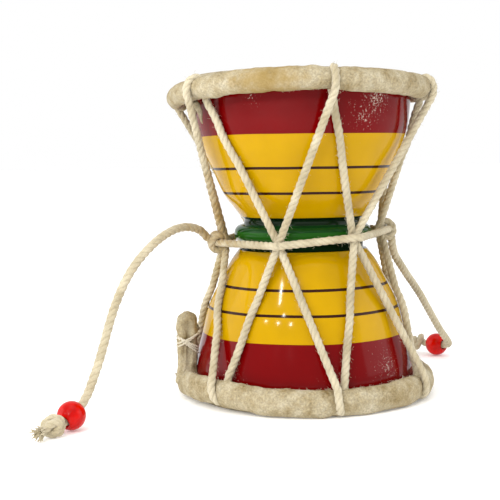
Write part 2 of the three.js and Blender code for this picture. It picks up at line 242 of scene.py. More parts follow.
def buildTwistTree():
    # rope: strands twisted round a line
    tree = bpy.data.node_groups.new("twistedRope", "GeometryNodeTree")
    sockets = tree.interface
    sockets.new_socket("Geometry", in_out="INPUT", socket_type="NodeSocketGeometry")
    for name, kind in (("Strands", "Int"), ("Strand Radius", "Float"), ("Twist Radius", "Float"),
                       ("Pitch", "Float"), ("Step", "Float"), ("Sides", "Int"), ("Material", "Material")):
        sockets.new_socket(name, in_out="INPUT", socket_type="NodeSocket" + kind)
    sockets.new_socket("Geometry", in_out="OUTPUT", socket_type="NodeSocketGeometry")
    given = addNode(tree, "NodeGroupInput").outputs
    even = addNode(tree, "GeometryNodeResampleCurve", {"mode": "LENGTH"},
                   Curve=given["Geometry"], Length=given["Step"])
    copies = addNode(tree, "GeometryNodeDuplicateElements", {"domain": "SPLINE"},
                     Geometry=even.outputs[0], Amount=given["Strands"])
    spline = addNode(tree, "GeometryNodeSplineParameter")
    turns = addNode(tree, "ShaderNodeMath", {"operation": "DIVIDE"},
                    i0=spline.outputs["Length"], i1=given["Pitch"])
    share = addNode(tree, "ShaderNodeMath", {"operation": "DIVIDE"},
                    i0=copies.outputs["Duplicate Index"], i1=given["Strands"])
    total = addNode(tree, "ShaderNodeMath", {"operation": "ADD"}, i0=turns.outputs[0], i1=share.outputs[0])
    angle = addNode(tree, "ShaderNodeMath", {"operation": "MULTIPLY"}, i0=total.outputs[0], i1=2 * math.pi)
    normal = addNode(tree, "GeometryNodeInputNormal")
    tangent = addNode(tree, "GeometryNodeInputTangent")
    spun = addNode(tree, "ShaderNodeVectorRotate", {"rotation_type": "AXIS_ANGLE"},
                   Vector=normal.outputs[0], Axis=tangent.outputs[0], Angle=angle.outputs[0])
    # the line's own direction outwards, kept for the painted shade between the strands
    marked = addNode(tree, "GeometryNodeStoreNamedAttribute",
                     {"data_type": "FLOAT_VECTOR", "domain": "POINT"}, Geometry=copies.outputs["Geometry"],
                     Name="spun", Value=spun.outputs[0])
    long = addNode(tree, "GeometryNodeStoreNamedAttribute", {"data_type": "FLOAT", "domain": "POINT"},
                   Geometry=marked.outputs[0], Name="along", Value=spline.outputs["Length"])
    spunAgain = addNode(tree, "GeometryNodeInputNamedAttribute", {"data_type": "FLOAT_VECTOR"}, Name="spun")
    away = addNode(tree, "ShaderNodeVectorMath", {"operation": "SCALE"},
                   i0=spunAgain.outputs[0], Scale=given["Twist Radius"])
    placed = addNode(tree, "GeometryNodeSetPosition", Geometry=long.outputs[0], Offset=away.outputs[0])
    ring = addNode(tree, "GeometryNodeCurvePrimitiveCircle", {"mode": "RADIUS"},
                   Resolution=given["Sides"], Radius=given["Strand Radius"])
    ringShare = addNode(tree, "GeometryNodeSplineParameter")
    ringMarked = addNode(tree, "GeometryNodeStoreNamedAttribute", {"data_type": "FLOAT", "domain": "POINT"},
                         Geometry=ring.outputs[0], Name="around", Value=ringShare.outputs["Factor"])
    tube = addNode(tree, "GeometryNodeCurveToMesh", Curve=placed.outputs[0],
                   Profile_Curve=ringMarked.outputs[0], Fill_Caps=True)
    # how far a point of a strand faces away from the rope's middle, from -1 to 1
    meshNormal = addNode(tree, "GeometryNodeInputNormal")
    spunMesh = addNode(tree, "GeometryNodeInputNamedAttribute", {"data_type": "FLOAT_VECTOR"}, Name="spun")
    facing = addNode(tree, "ShaderNodeVectorMath", {"operation": "DOT_PRODUCT"},
                     i0=meshNormal.outputs[0], i1=spunMesh.outputs[0])
    faced = addNode(tree, "GeometryNodeStoreNamedAttribute", {"data_type": "FLOAT", "domain": "POINT"},
                    Geometry=tube.outputs[0], Name="outward", Value=facing.outputs["Value"])
    smooth = addNode(tree, "GeometryNodeSetShadeSmooth", Geometry=faced.outputs[0])
    real = addNode(tree, "GeometryNodeRealizeInstances", Geometry=smooth.outputs[0])
    dressed = addNode(tree, "GeometryNodeSetMaterial", Geometry=real.outputs[0], Material=given["Material"])
    addNode(tree, "NodeGroupOutput", Geometry=dressed.outputs[0])
    return tree


twistTree = buildTwistTree()
strandShare = 0.322  # a strand's radius, as a share of the rope's diameter
ropeLay = {"strands": 3, "pitch": 8.0, "step": 0.6, "sides": 8}


def ropePiece(name, lines, diameter, material, lay=ropeLay):
    # lines are lists of points in mm; the strands together reach the rope's full diameter
    curve = bpy.data.curves.new(name + "Line", "CURVE")
    curve.dimensions = "3D"
    curve.twist_mode = "MINIMUM"
    for line in lines:
        spline = curve.splines.new("POLY")
        spline.points.add(len(line) - 1)
        for point, p in zip(spline.points, line):
            point.co = (*(np.array(p) * mm), 1)
    holder = bpy.data.objects.new(name + "Line", curve)
    bpy.context.scene.collection.objects.link(holder)
    strand = strandShare * diameter
    runTree(holder, twistTree, {
        "Strands": lay["strands"], "Strand Radius": strand * mm,
        "Twist Radius": (diameter / 2 - strand) * mm, "Pitch": lay["pitch"] * mm, "Step": lay["step"] * mm,
        "Sides": lay["sides"], "Material": material})
    return evaluatedPiece(name, holder)


def buildFibreTree():
    # short bent fibres that stand off a rope's surface
    tree = bpy.data.node_groups.new("looseFibres", "GeometryNodeTree")
    tree.interface.new_socket("Geometry", in_out="INPUT", socket_type="NodeSocketGeometry")
    for name, kind in (("Density", "Float"), ("Length", "Float"), ("Thickness", "Float"), ("Seed", "Int"),
                       ("Material", "Material")):
        tree.interface.new_socket(name, in_out="INPUT", socket_type="NodeSocket" + kind)
    tree.interface.new_socket("Geometry", in_out="OUTPUT", socket_type="NodeSocketGeometry")
    given = addNode(tree, "NodeGroupInput").outputs
    spots = addNode(tree, "GeometryNodeDistributePointsOnFaces",
                    Mesh=given["Geometry"], Density=given["Density"], Seed=given["Seed"])
    # one fibre of length 1, which each copy scales
    bend = addNode(tree, "GeometryNodeCurvePrimitiveBezierSegment", Resolution=4, Start=(0, 0, 0),
                   Start_Handle=(0, 0, 0.5), End_Handle=(0.5, 0.1, 0.8), End=(0.9, 0.3, 0.7))
    share = addNode(tree, "FunctionNodeRandomValue", {"data_type": "FLOAT"},
                    i2=0.4, i3=1.2, Seed=given["Seed"])
    sized = addNode(tree, "ShaderNodeMath", {"operation": "MULTIPLY"},
                    i0=given["Length"], i1=share.outputs[1])
    # a lean to either side and any turn round the fibre's foot, in radians
    spin = addNode(tree, "FunctionNodeRandomValue", {"data_type": "FLOAT_VECTOR"},
                   i0=(-0.7, -0.7, 0), i1=(0.7, 0.7, 6.28), Seed=7)
    turned = addNode(tree, "FunctionNodeRotateRotation", {"rotation_space": "LOCAL"},
                     Rotation=spots.outputs["Rotation"], Rotate_By=spin.outputs[0])
    placed = addNode(tree, "GeometryNodeInstanceOnPoints",
                     Points=spots.outputs["Points"], Instance=bend.outputs[0],
                     Rotation=turned.outputs[0], Scale=sized.outputs[0])
    real = addNode(tree, "GeometryNodeRealizeInstances", Geometry=placed.outputs[0])
    ring = addNode(tree, "GeometryNodeCurvePrimitiveCircle", {"mode": "RADIUS"},
                   Resolution=3, Radius=given["Thickness"])
    tubes = addNode(tree, "GeometryNodeCurveToMesh",
                    Curve=real.outputs[0], Profile_Curve=ring.outputs[0], Fill_Caps=True)
    # loose fibres stand clear of the rope, so they are kept free of the painted shade between strands
    unshaded = addNode(tree, "GeometryNodeStoreNamedAttribute", {"data_type": "FLOAT", "domain": "POINT"},
                    Geometry=tubes.outputs[0], Name="outward", Value=0.9)
    dressed = addNode(tree, "GeometryNodeSetMaterial", Geometry=unshaded.outputs[0], Material=given["Material"])
    addNode(tree, "NodeGroupOutput", Geometry=dressed.outputs[0])
    return tree


fibreTree = buildFibreTree()
# how many fibres stand on a square metre, and their sizes
fibres = {"Density": 150000.0, "Length": 1.2 * mm, "Thickness": 0.035 * mm, "Seed": 4}


def fibrePiece(name, source, material, sizes=fibres):
    holder = bpy.data.objects.new(name + "Source", source.data.copy())
    bpy.context.scene.collection.objects.link(holder)
    runTree(holder, fibreTree, {**sizes, "Material": material})
    return evaluatedPiece(name, holder)


# striker cords: the same points as the solids', in mm
striker = {"diameter": 3.3}
leftRoute = [
    (-36.3, -7.4, 61.0), (-37.9, -9.3, 63.2), (-39.8, -11.9, 65.0), (-42.9, -16.0, 66.1),
    (-46.2, -20.4, 66.0), (-49.6, -24.9, 64.6), (-53.0, -29.4, 62.2), (-56.1, -33.4, 59.2),
    (-59.2, -37.5, 55.4), (-62.0, -41.1, 50.9), (-64.4, -44.3, 45.7), (-66.5, -47.0, 39.9),
    (-68.2, -49.3, 33.8), (-69.8, -51.4, 27.4), (-71.4, -53.4, 21.4), (-73.1, -55.5, 16.0),
    (-74.8, -57.3, 11.2), (-77.1, -60.1, 7.0), (-79.2, -63.7, 5.3), (-81.3, -67.3, 3.6),
]
rightRoute = [
    (34.7, 4.4, 60.4), (35.2, 6.6, 57.0), (36.6, 10.6, 52.4), (39.6, 16.8, 47.6), (43.0, 24.0, 42.5),
    (46.6, 31.6, 37.4), (50.2, 39.0, 31.9), (53.6, 46.0, 26.1), (57.0, 52.8, 20.3), (60.2, 58.8, 15.0),
    (62.9, 63.6, 11.1), (64.9, 67.7, 8.2), (65.6, 71.0, 6.3), (64.1, 74.0, 5.4), (61.0, 77.0, 5.2),
    (57.9, 80.1, 5.0),
]
strikerLines = {side: smoothLine(route, 0.8) for side, route in (("left", leftRoute), ("right", rightRoute))}
strikerPieces = {}
for side, line in strikerLines.items():
    strikerPieces[side] = ropePiece("striker_cord_" + side + "_rope", [line], striker["diameter"], cotton)
print("striker cords laid")


# the shell, in mm: each point of a bowl or of the hollow is a distance from the waist and a radius
shell = {
    "waist": 62.5, "top": 121.3, "bottom": 1.7,
    "upper": [(6.6, 23.9), (10.5, 26.8), (16, 30.8), (25.1, 34.7), (37.1, 39.8), (48, 41.6), (58.8, 42.3)],
    "lower": [(6.1, 25.0), (10.5, 28.2), (19.1, 32.8), (28.3, 37.2), (37.9, 39.7), (50, 42.6), (60.8, 43.3)],
    "hollow": [(0, 12.5), (5, 13), (9, 18.5), (16, 25), (25, 30.0), (37, 34.6), (50, 37.2), (60.8, 38)],
    "groove": 22.8, "beadZ": 62.8, "beadRadius": 26.6, "beadHalf": 3.4,
    "sides": 256,
}
upperLine = smoothLine(shell["upper"], 0.5)
lowerLine = smoothLine(shell["lower"], 0.5)


def clearRadius(z, halfThickness):
    # how far out something of this half thickness stands when it lies on the shell
    line = upperLine if z > shell["waist"] else lowerLine
    slope = np.gradient(line, axis=0)
    slope /= np.linalg.norm(slope, axis=1)[:, None]
    moved = line + halfThickness * np.stack([-slope[:, 1], slope[:, 0]], 1)
    return max(shell["beadRadius"], float(np.interp(abs(z - shell["waist"]), moved[:, 0], moved[:, 1])))


def shellProfile():
    w, groove, beadZ, beadHalf = shell["waist"], shell["groove"], shell["beadZ"], shell["beadHalf"]
    outside = [(r, w - d) for d, r in lowerLine[::-1]]
    low, high = w - shell["lower"][0][0], w + shell["upper"][0][0]
    # the bowls roll over into the grooves, and the green bead swells between them
    outside += [(24.6, low + 0.35), (24.0, low + 0.5), (groove + 0.6, low + 0.55),
                (groove + 0.6, beadZ - beadHalf - 0.1)]
    for a in np.linspace(-88, 88, 17):
        swell = (shell["beadRadius"] - groove) * math.cos(math.radians(a)) ** 0.8
        outside.append((groove + swell, beadZ + beadHalf * math.sin(math.radians(a))))
    outside += [(groove, beadZ + beadHalf + 0.2), (groove, high - 0.7), (groove + 0.3, high - 0.5),
                (23.5, high - 0.3)]
    outside += [(r, w + d) for d, r in upperLine]
    hollow = smoothLine(shell["hollow"], 2)
    inside = [(r, w + d) for d, r in hollow][::-1] + [(r, w - d) for d, r in hollow][1:]
    outside[0] = (outside[0][0], shell["bottom"])
    outside[-1] = (outside[-1][0], shell["top"])
    inside[0] = (inside[0][0], shell["top"])
    inside[-1] = (inside[-1][0], shell["bottom"])
    return outside + inside


def lathe(name, profile, sides, material):
    points = [around(360 * k / sides, r, z) * mm for k in range(sides) for r, z in profile]
    return newPiece(name, points, ringFaces(sides, len(profile)), [material])


# chalky glue residue: its place, how far it reaches and its flakes' size in mm, how white and how thick it is
residue = [
    ((27, -32, 113), 13, 0.7, 0.8, 0.25),
    ((22, -34, 106), 15, 0.8, 0.6, 0.19),
    ((31, -29, 15), 15, 0.7, 0.5, 0.2),
    ((12, -41, 13), 14, 0.5, 0.4, 0.17),
    ((-26, -34, 12), 10, 0.5, 0.5, 0.2),
    ((-18, -38, 114), 9, 0.6, 0.5, 0.19),
]
lacColours = {"red": "#6C0103", "yellow": "#B88E00", "line": "#30140A", "deepGreen": "#0D200D",
              "green": "#1C5212", "shadedGreen": "#103C13", "residue": "#D9CDBD"}
# the height that the colour ramp spans, and where each band starts on it, in mm
bandScale = 125
bands = [
    (0, "red"), (24.6, "yellow"), (33.75, "line"), (34.75, "yellow"), (42.9, "line"), (43.9, "yellow"),
    (56.3, "deepGreen"), (59.7, "green"), (63.8, "shadedGreen"), (66.2, "deepGreen"),
    (69.1, "yellow"), (78.1, "line"), (78.95, "yellow"), (87.2, "line"), (88.0, "yellow"), (99.7, "red"),
]


def lacquerMaterial():
    # lac melted onto turned wood: deep, slightly mottled colour under a hard gloss, with chalky residue
    material, tree, shader = newMaterial("turnedLacquer")
    place = addNode(tree, "ShaderNodeTexCoord").outputs["Object"]
    split = addNode(tree, "ShaderNodeSeparateXYZ", Vector=place)
    wander = addNode(tree, "ShaderNodeTexNoise", Vector=place, Scale=1 / (30 * mm), Detail=1.0)
    # the bands' edges wander a little, as hand-held lac leaves them
    lift = addNode(tree, "ShaderNodeMath", {"operation": "MULTIPLY_ADD"},
                   i0=wander.outputs["Fac"], i1=0.7 * mm, i2=-0.35 * mm)
    level = addNode(tree, "ShaderNodeMath", {"operation": "ADD"}, i0=split.outputs["Z"], i1=lift.outputs[0])
    height = addNode(tree, "ShaderNodeMapRange", Value=level.outputs[0], From_Min=0.0,
                     From_Max=bandScale * mm)
    ramp = addNode(tree, "ShaderNodeValToRGB", i0=height.outputs[0])
    ramp.color_ramp.interpolation = "CONSTANT"
    stops = ramp.color_ramp.elements
    while len(stops) < len(bands):
        stops.new(1.0)
    for stop, (z, colour) in zip(stops, bands):
        stop.position = z / bandScale
        stop.color = linear(lacColours[colour])
    mottle = addNode(tree, "ShaderNodeTexNoise", Vector=place, Scale=1 / (14 * mm), Detail=3.0)
    shade = addNode(tree, "ShaderNodeMapRange", Value=mottle.outputs["Fac"],
                    From_Min=0.3, From_Max=0.7, To_Min=0.92, To_Max=1.06)
    toned = addNode(tree, "ShaderNodeMix", {"data_type": "RGBA", "blend_type": "MULTIPLY"},
                    i0=1.0, i6=ramp.outputs[0], i7=shade.outputs[0])
    worn = toned.outputs[2]
    for at, reach, size, amount, density in residue:
        spot = addNode(tree, "ShaderNodeVectorMath", {"operation": "DISTANCE"},
                       i0=place, i1=[v * mm for v in at])
        near = addNode(tree, "ShaderNodeMapRange", Value=spot.outputs["Value"],
                       From_Min=0.0, From_Max=reach * mm, To_Min=density, To_Max=0.0)
        flake = addNode(tree, "ShaderNodeTexNoise", Vector=place,
                        Scale=1 / (size * mm), Detail=5.0, Roughness=0.7)
        thick = addNode(tree, "ShaderNodeMath", {"operation": "ADD"},
                        i0=flake.outputs["Fac"], i1=near.outputs[0])
        cover = addNode(tree, "ShaderNodeMapRange", Value=thick.outputs[0],
                        From_Min=0.74, From_Max=0.8, To_Max=amount)
        worn = addNode(tree, "ShaderNodeMix", {"data_type": "RGBA"},
                       i0=cover.outputs[0], i6=worn, i7=linear(lacColours["residue"])).outputs[2]
    tree.links.new(worn, shader.inputs["Base Color"])
    ripple = addNode(tree, "ShaderNodeTexNoise", Vector=place, Scale=1 / (6 * mm), Detail=1.0)
    bump = addNode(tree, "ShaderNodeBump", Height=ripple.outputs["Fac"], Strength=0.25, Distance=0.15 * mm)
    tree.links.new(bump.outputs[0], shader.inputs["Normal"])
    shader.inputs["Roughness"].default_value = 0.1
    shader.inputs["Specular IOR Level"].default_value = 0.12
    return material


lacquer = lacquerMaterial()
shellPiece = lathe("drum_shell_turned", shellProfile(), shell["sides"], lacquer)
print("shell turned")


# drumheads, in mm and degrees. Roll: its middle's radius and height. Half: half its width and height.
# Torn and ragged: how far past the roll's edge the torn skin reaches, less than 0 being short of it, and how
# unevenly it is torn.
# Shift and swell: how far the roll is moved up and out, in eight directions from the front.
# Loops and slip: where the lacing goes over it, and how much further round each loop's inner leg comes up.
# Turn: a loop's way over the roll, as (outwards, towards the head) from the roll's middle.
heads = {
    "top": {
        "up": 1, "roll": (47.8, 118.8), "half": (4.0, 4.2), "skin": 123.0, "rim": 42.7,
        "torn": -1.6, "ragged": 0.35, "seed": 3,
        "shift": [0, -1.2, -1.9, -1.7, -1.5, -2.4, -3.8, -1.5],
        "swell": [0, -0.3, -1.6, -0.6, 0, 0.2, 0.2, 0],
        "loops": [-52, 13, 74, 133, 193, 252], "slip": [3.5, 0.6, 3, 3, 3, 3],
        "turn": [(3.6, -4.2), (4.3, -2.4), (4.5, -0.8), (4.2, 1.2), (3.4, 2.6), (2.1, 3.5), (0.6, 3.7),
                 (-0.9, 3.1), (-1.9, 1.8), (-2.4, -0.5), (-2.3, -4.6)],
    },
    "bottom": {
        "up": -1, "roll": (46.7, 5.0), "half": (3.3, 5.0), "skin": 0.0, "rim": 43.7,
        "torn": -1.2, "ragged": 0.8, "seed": 11,
        "shift": [0.2, 0.3, 0.4, 0.2, 0.2, 0.3, 0.8, 1.9],
        "swell": [0.1, 0, 0.2, 0, 0, 0, 0, -0.4],
        "loops": [-43, 13.5, 64, 125, 185, 255], "slip": [6, 4.6, 4, 4, 4, 4],
        "turn": [(2.6, -5.4), (3.3, -3.2), (3.5, -1.2), (3.2, 0.8), (2.6, 2.2), (1.7, 2.9), (0.7, 3.1),
                 (-0.3, 2.6), (-0.9, 1.4), (-1.1, -1.0), (-1.1, -5.8)],
    },
}
# the skins' rings on the flat, over the roll, down the skirt and behind it, and the dent that a loop makes
skin = {"thickness": 1.4, "sides": 420, "flat": 28, "over": 44, "skirt": 5, "behind": 4,
        "pinchWidth": 3.4, "pinchDepth": 0.75}


def rollShape(head, azimuth):
    return byAzimuth(head["shift"], azimuth), byAzimuth(head["swell"], azimuth)


def pinchAt(head, azimuth, width):
    gapTo = min(abs((azimuth - a + 180) % 360 - 180) for a in head["loops"])
    return math.exp(-(gapTo / width) ** 2)


def headPoints(head):
    # rings run from the middle of the skin, out over the roll to the torn edge, and back inside
    r0, z0 = head["roll"]
    halfWide, halfHigh = head["half"]
    up, rim, sides = head["up"], head["rim"], skin["sides"]
    rings = [(r, head["skin"], "flat") for r in np.linspace(0.5, rim - 1.5, skin["flat"])]
    for a in np.linspace(125, -112, skin["over"]):
        s = math.radians(a)
        rings.append((r0 + halfWide * math.cos(s), z0 + up * halfHigh * math.sin(s), "roll"))
    start = rings[-1]
    skirt = z0 - up * (halfHigh + head["torn"])
    for t in np.linspace(0.2, 1, skin["skirt"]):
        rings.append((start[0] + (rim + 0.75 - start[0]) * t, start[1] + (skirt - start[1]) * t, "skirt"))
    under = head["skin"] - up * skin["thickness"]
    rings += [(rim, skirt - up * 0.1, "skirt"), (rim, z0, "back"), (rim, under, "back"), (0.5, under, "back")]
    points = []
    seed = Vector((head["seed"], 7.1, 3.3))
    for k in range(sides):
        azimuth = 360 * k / sides
        shift, swell = rollShape(head, azimuth)
        pinch = pinchAt(head, azimuth, skin["pinchWidth"])
        for r, z, zone in rings:
            share = min(1.0, max(0.0, (r - (r0 - halfWide - 0.3)) / (halfWide + 0.3)))
            share = share * share * (3 - 2 * share)
            p = around(azimuth, r, z)
            if zone in ("roll", "skirt"):
                lump = noise.noise(Vector(p / 11) + seed) * 0.55 + noise.noise(Vector(p / 4.2) + seed) * 0.28
                lump += noise.noise(Vector((azimuth / 2.6, z / 9, head["seed"]))) * 0.22
                out = np.array([r - r0, z - z0]) / max(0.1, math.hypot(r - r0, z - z0))
                press = -skin["pinchDepth"] * pinch if zone == "roll" and r > r0 - 1 else 0
                r2, z2 = r + out[0] * (lump + press), z + out[1] * (lump + press)
                if zone == "skirt":
                    tear = noise.noise(Vector((azimuth / 3.1, 0, head["seed"]))) * 1.3
                    tear += noise.noise(Vector((azimuth / 0.9, 4, head["seed"]))) * 0.9
                    z2 += up * tear * head["ragged"]
                r2 = max(r2, rim + 0.05)
            else:
                r2, z2 = r, z
            z2 += share * shift
            if up < 0:
                z2 = max(z2, 0.0)
            points.append(around(azimuth, r2 + share * swell, z2) * mm)
    return points, len(rings)


def headFaces(head, count, first, last):
    # quads between neighbouring rings from one ring to another; the lower head's run the other way round
    faces = []
    for k in range(skin["sides"]):
        a, b = k * count, (k + 1) % skin["sides"] * count
        for i in range(first, last):
            face = (a + i, a + i + 1, b + i + 1, b + i)
            faces.append(face if head["up"] > 0 else face[::-1])
    return faces


def headPiece(name, head, material):
    points, count = headPoints(head)
    faces = headFaces(head, count, 0, count - 1)
    sides = skin["sides"]
    for i, z in ((0, head["skin"]), (count - 1, head["skin"] - head["up"] * skin["thickness"])):
        centre = len(points)
        points.append(np.array([0, 0, z]) * mm)
        for k in range(sides):
            a, b = k * count + i, (k + 1) % sides * count + i
            face = (centre, a, b) if (i == 0) == (head["up"] > 0) else (centre, b, a)
            faces.append(face)
    return newPiece(name, points, faces, [material])


# grime rubbed into the tail, and tan patches along the rolls
hideStains = [
    ((-42, -11, 18), 8, 0.35, "#46301A"),
    ((-12, -48, 118), 20, 0.7, "#957A3C"),
    ((-43, -12, 29), 4, 0.25, "#4A3418"),
    ((34, -32, 6), 14, 0.3, "#927A45"),
]


def skinMaterial():
    # scraped and dried hide: cream with tan mottling, a fine grain, no gloss
    material, tree, shader = newMaterial("driedHide")
    place = addNode(tree, "ShaderNodeTexCoord").outputs["Object"]
    broad = addNode(tree, "ShaderNodeTexNoise", Vector=place, Scale=1 / (7 * mm), Detail=6.0, Roughness=0.72)
    ramp = addNode(tree, "ShaderNodeValToRGB", i0=broad.outputs["Fac"])
    stops = ramp.color_ramp.elements
    stops[0].position, stops[0].color = 0.3, linear("#816D44")
    stops[1].position, stops[1].color = 0.7, linear("#BFB59C")
    middle = stops.new(0.48)
    middle.color = linear("#A79979")
    grain = addNode(tree, "ShaderNodeTexNoise", Vector=place, Scale=1 / (0.7 * mm), Detail=4.0, Roughness=0.7)
    speck = addNode(tree, "ShaderNodeMapRange", Value=grain.outputs["Fac"],
                    From_Min=0.32, From_Max=0.68, To_Min=0.66, To_Max=1.2)
    colour = addNode(tree, "ShaderNodeMix", {"data_type": "RGBA", "blend_type": "MULTIPLY"},
                     i0=1.0, i6=ramp.outputs[0], i7=speck.outputs[0])
    tree.links.new(stained(tree, place, colour.outputs[2], hideStains), shader.inputs["Base Color"])
    bump = addNode(tree, "ShaderNodeBump", Height=grain.outputs["Fac"], Strength=0.8, Distance=0.3 * mm)
    tree.links.new(bump.outputs[0], shader.inputs["Normal"])
    shader.inputs["Roughness"].default_value = 0.85
    shader.inputs["Specular IOR Level"].default_value = 0.3
    return material


edgeFibres = {"Density": 2400000.0, "Length": 0.9 * mm, "Thickness": 0.04 * mm, "Seed": 4}


def tornEdge(name, head, material):
    # fibres along the torn edge alone, where the skin was cut and left rough
    points, count = headPoints(head)
    last = count - skin["behind"]
    strip = newPiece(name + "Strip", points, headFaces(head, count, last - skin["skirt"], last), [material])
    fringe = fibrePiece(name, strip, material, edgeFibres)
    bpy.data.objects.remove(strip)
    return fringe


hide = skinMaterial()
topSkin = headPiece("top_drumhead_skin", heads["top"], hide)
bottomSkin = headPiece("bottom_drumhead_skin", heads["bottom"], hide)

# the skin's spare end: a folded strip that stands up beside the shell
tail = {"azimuth": -75, "outer": 47.9, "inner": 44.4, "top": 31.2, "foot": 6, "diameter": 4.3, "voxel": 0.35}


def tubePoints(line, radii, sides):
    points = []
    side = np.array([0.0, 0.0, 1.0])
    for i, p in enumerate(line):
        run = line[min(i + 1, len(line) - 1)] - line[max(i - 1, 0)]
        run = run / np.linalg.norm(run)
        side = side - run * side.dot(run)
        if np.linalg.norm(side) < 0.01:
            side = np.array([1.0, 0.0, 0.0]) - run * run[0]
        side = side / np.linalg.norm(side)
        other = np.cross(run, side)
        for k in range(sides):
            a = 2 * math.pi * k / sides
            points.append(p + radii[i] * (math.cos(a) * side + math.sin(a) * other))
    return points


def tubeFaces(count, sides, start=0):
    faces = []
    for i in range(count - 1):
        for k in range(sides):
            a, b = start + i * sides + k, start + i * sides + (k + 1) % sides
            faces.append((a, b, b + sides, a + sides))
    faces.append(tuple(start + k for k in range(sides))[::-1])
    faces.append(tuple(start + (count - 1) * sides + k for k in range(sides)))
    return faces


def tailLine():
    t = tail
    middle, half = (t["outer"] + t["inner"]) / 2, (t["outer"] - t["inner"]) / 2
    points = [around(t["azimuth"], t["outer"], z) for z in np.linspace(t["foot"], t["top"] - half, 6)]
    for a in (30, 60, 90, 120, 150):
        s = math.radians(a)
        points.append(around(t["azimuth"], middle + half * math.cos(s), t["top"] - half + half * math.sin(s)))
    for z in np.linspace(t["top"] - half, t["foot"], 6):
        inner = max(t["inner"], clearRadius(z, t["diameter"] / 2 + 0.2))
        points.append(around(t["azimuth"], inner, z))
    return smoothLine(points, 0.6)


def tailPiece(name, material):
    # two folds grown together, fused into one skin with a voxel remesh and then roughened
    line = tailLine()
    # thicker at the foot, where it grows out of the roll
    radii = [tail["diameter"] / 2 * (1.04 + 0.3 * noise.noise(Vector(p / 5))
                                     + 0.45 * math.exp((tail["foot"] - p[2]) / 7)) for p in line]
    sides = 16
    rough = newPiece(name + "Rough", [p * mm for p in tubePoints(line, radii, sides)],
                     tubeFaces(len(line), sides), [])
    remesh = rough.modifiers.new("fuse", "REMESH")
    remesh.mode, remesh.voxel_size = "VOXEL", tail["voxel"] * mm
    soften = rough.modifiers.new("soften", "SMOOTH")
    soften.iterations, soften.factor = 6, 0.6
    piece = evaluatedPiece(name, rough)
    for vertex in piece.data.vertices:
        p = np.array(vertex.co) / mm
        crease = abs(noise.noise(Vector((p[0] / 1.8, p[1] / 1.8, p[2] / 6))))
        lump = 0.7 * noise.noise(Vector(p / 3.2)) - 0.7 * crease
        vertex.co += vertex.normal * lump * mm
    piece.data.materials.append(material)
    piece.data.shade_smooth()
    return piece


topEdge = tornEdge("top_drumhead_torn_edge", heads["top"], whiteTwine)
bottomEdge = tornEdge("bottom_drumhead_torn_edge", heads["bottom"], whiteTwine)
tailSkin = tailPiece("bottom_drumhead_tail", hide)
# torn tongues of skin that hang from under the top roll: each one's start and end, as azimuth, radius and
# height, and its half width
tongues = [((-58, 45.8, 112.0), (-53.5, 44.2, 104.4), 1.3), ((-62, 45.8, 112), (-60.5, 44.4, 106.5), 1.7)]


def tonguePiece(name, material, sides=10):
    points, faces = [], []
    steps = np.linspace(0, 1, 14)
    for start, end, width in tongues:
        a, b = around(*start), around(*end)
        line = [a + (b - a) * t + np.array([0.5 * math.sin(5 * t), -0.3 * math.sin(3 * t), 0]) for t in steps]
        radii = [width * (1 - t) ** 0.8 + 0.18 for t in steps]
        faces += tubeFaces(len(line), sides, len(points))
        points += [p * mm for p in tubePoints(line, radii, sides)]
    return newPiece(name, points, faces, [material])


tonguePieces = tonguePiece("top_drumhead_tongues", hide)
print("drumheads rolled")


# lacing: each crossing is an azimuth and a height
lacing = {"diameter": 3.0, "crossingRadius": 30.3, "pinch": 0.45, "legSteps": 14}
crossings = [(-17, 59.8), (38, 62.2), (98, 63.2), (160, 62.5), (220, 61), (280, 59.5)]
loopCount = len(crossings)


def turnPoint(head, azimuth, outward, endward):
    shift, swell = rollShape(head, azimuth)
    r0, z0 = head["roll"]
    return around(azimuth, r0 + outward + (swell if outward > 0 else 0), z0 + shift + head["up"] * endward)


def crossingPoint(index, outerStrand):
    azimuth, z = crossings[index % loopCount]
    aside = lacing["pinch"] if outerStrand else -lacing["pinch"]
    return around(azimuth, lacing["crossingRadius"] + aside, z)


def legPoints(start, end):
    points = []
    for t in np.linspace(0, 1, lacing["legSteps"] + 1)[1:-1]:
        p = start + (end - start) * t
        flat = math.hypot(p[0], p[1])
        out = max(1, clearRadius(p[2], lacing["diameter"] / 2 + 0.15) / flat)
        points.append(np.array([p[0] * out, p[1] * out, p[2]]))
    return points


def lacingVee(head, index):
    azimuth = head["loops"][index]
    # the inner leg comes up a little further round than the outer one
    steps = len(head["turn"]) - 1
    turn = [turnPoint(head, azimuth + head["slip"][index] * (k / steps) ** 1.5, *pair)
            for k, pair in enumerate(head["turn"])]
    start = crossingPoint(index - 1, head["up"] > 0)
    finish = crossingPoint(index, head["up"] < 0)
    return [start, *legPoints(start, turn[0]), *turn, *legPoints(turn[-1], finish)]


def circuit(first):
    points = []
    for k in range(loopCount):
        head = heads["top"] if (k + first) % 2 == 0 else heads["bottom"]
        points += lacingVee(head, k)
    return smoothLine(points + points[:1], 0.7)


lacingPiece = ropePiece("lacing_rope_twisted", [circuit(0), circuit(1)], lacing["diameter"], cotton)
print("lacing done,", len(lacingPiece.data.polygons), "faces")


# waist cord: it runs round the crossings at this distance, and hitches round two of them
waist = {"diameter": 3.0, "wrap": 3.5, "hitchDeep": 2.6, "hitchHigh": 3.0}


def beltLine():
    posts = [around(a, lacing["crossingRadius"], z) for a, z in crossings]
    points = []
    for i in [5, 0, 1, 2, 3, 4, 5]:
        post, before, after = posts[i], posts[i - 1], posts[(i + 1) % loopCount]
        for side in (post - before, after - before, after - post):
            outward = np.array([side[1], -side[0], 0])
            points.append(post + waist["wrap"] * outward / np.linalg.norm(outward))
    return smoothLine(points[1:-1], 0.7)


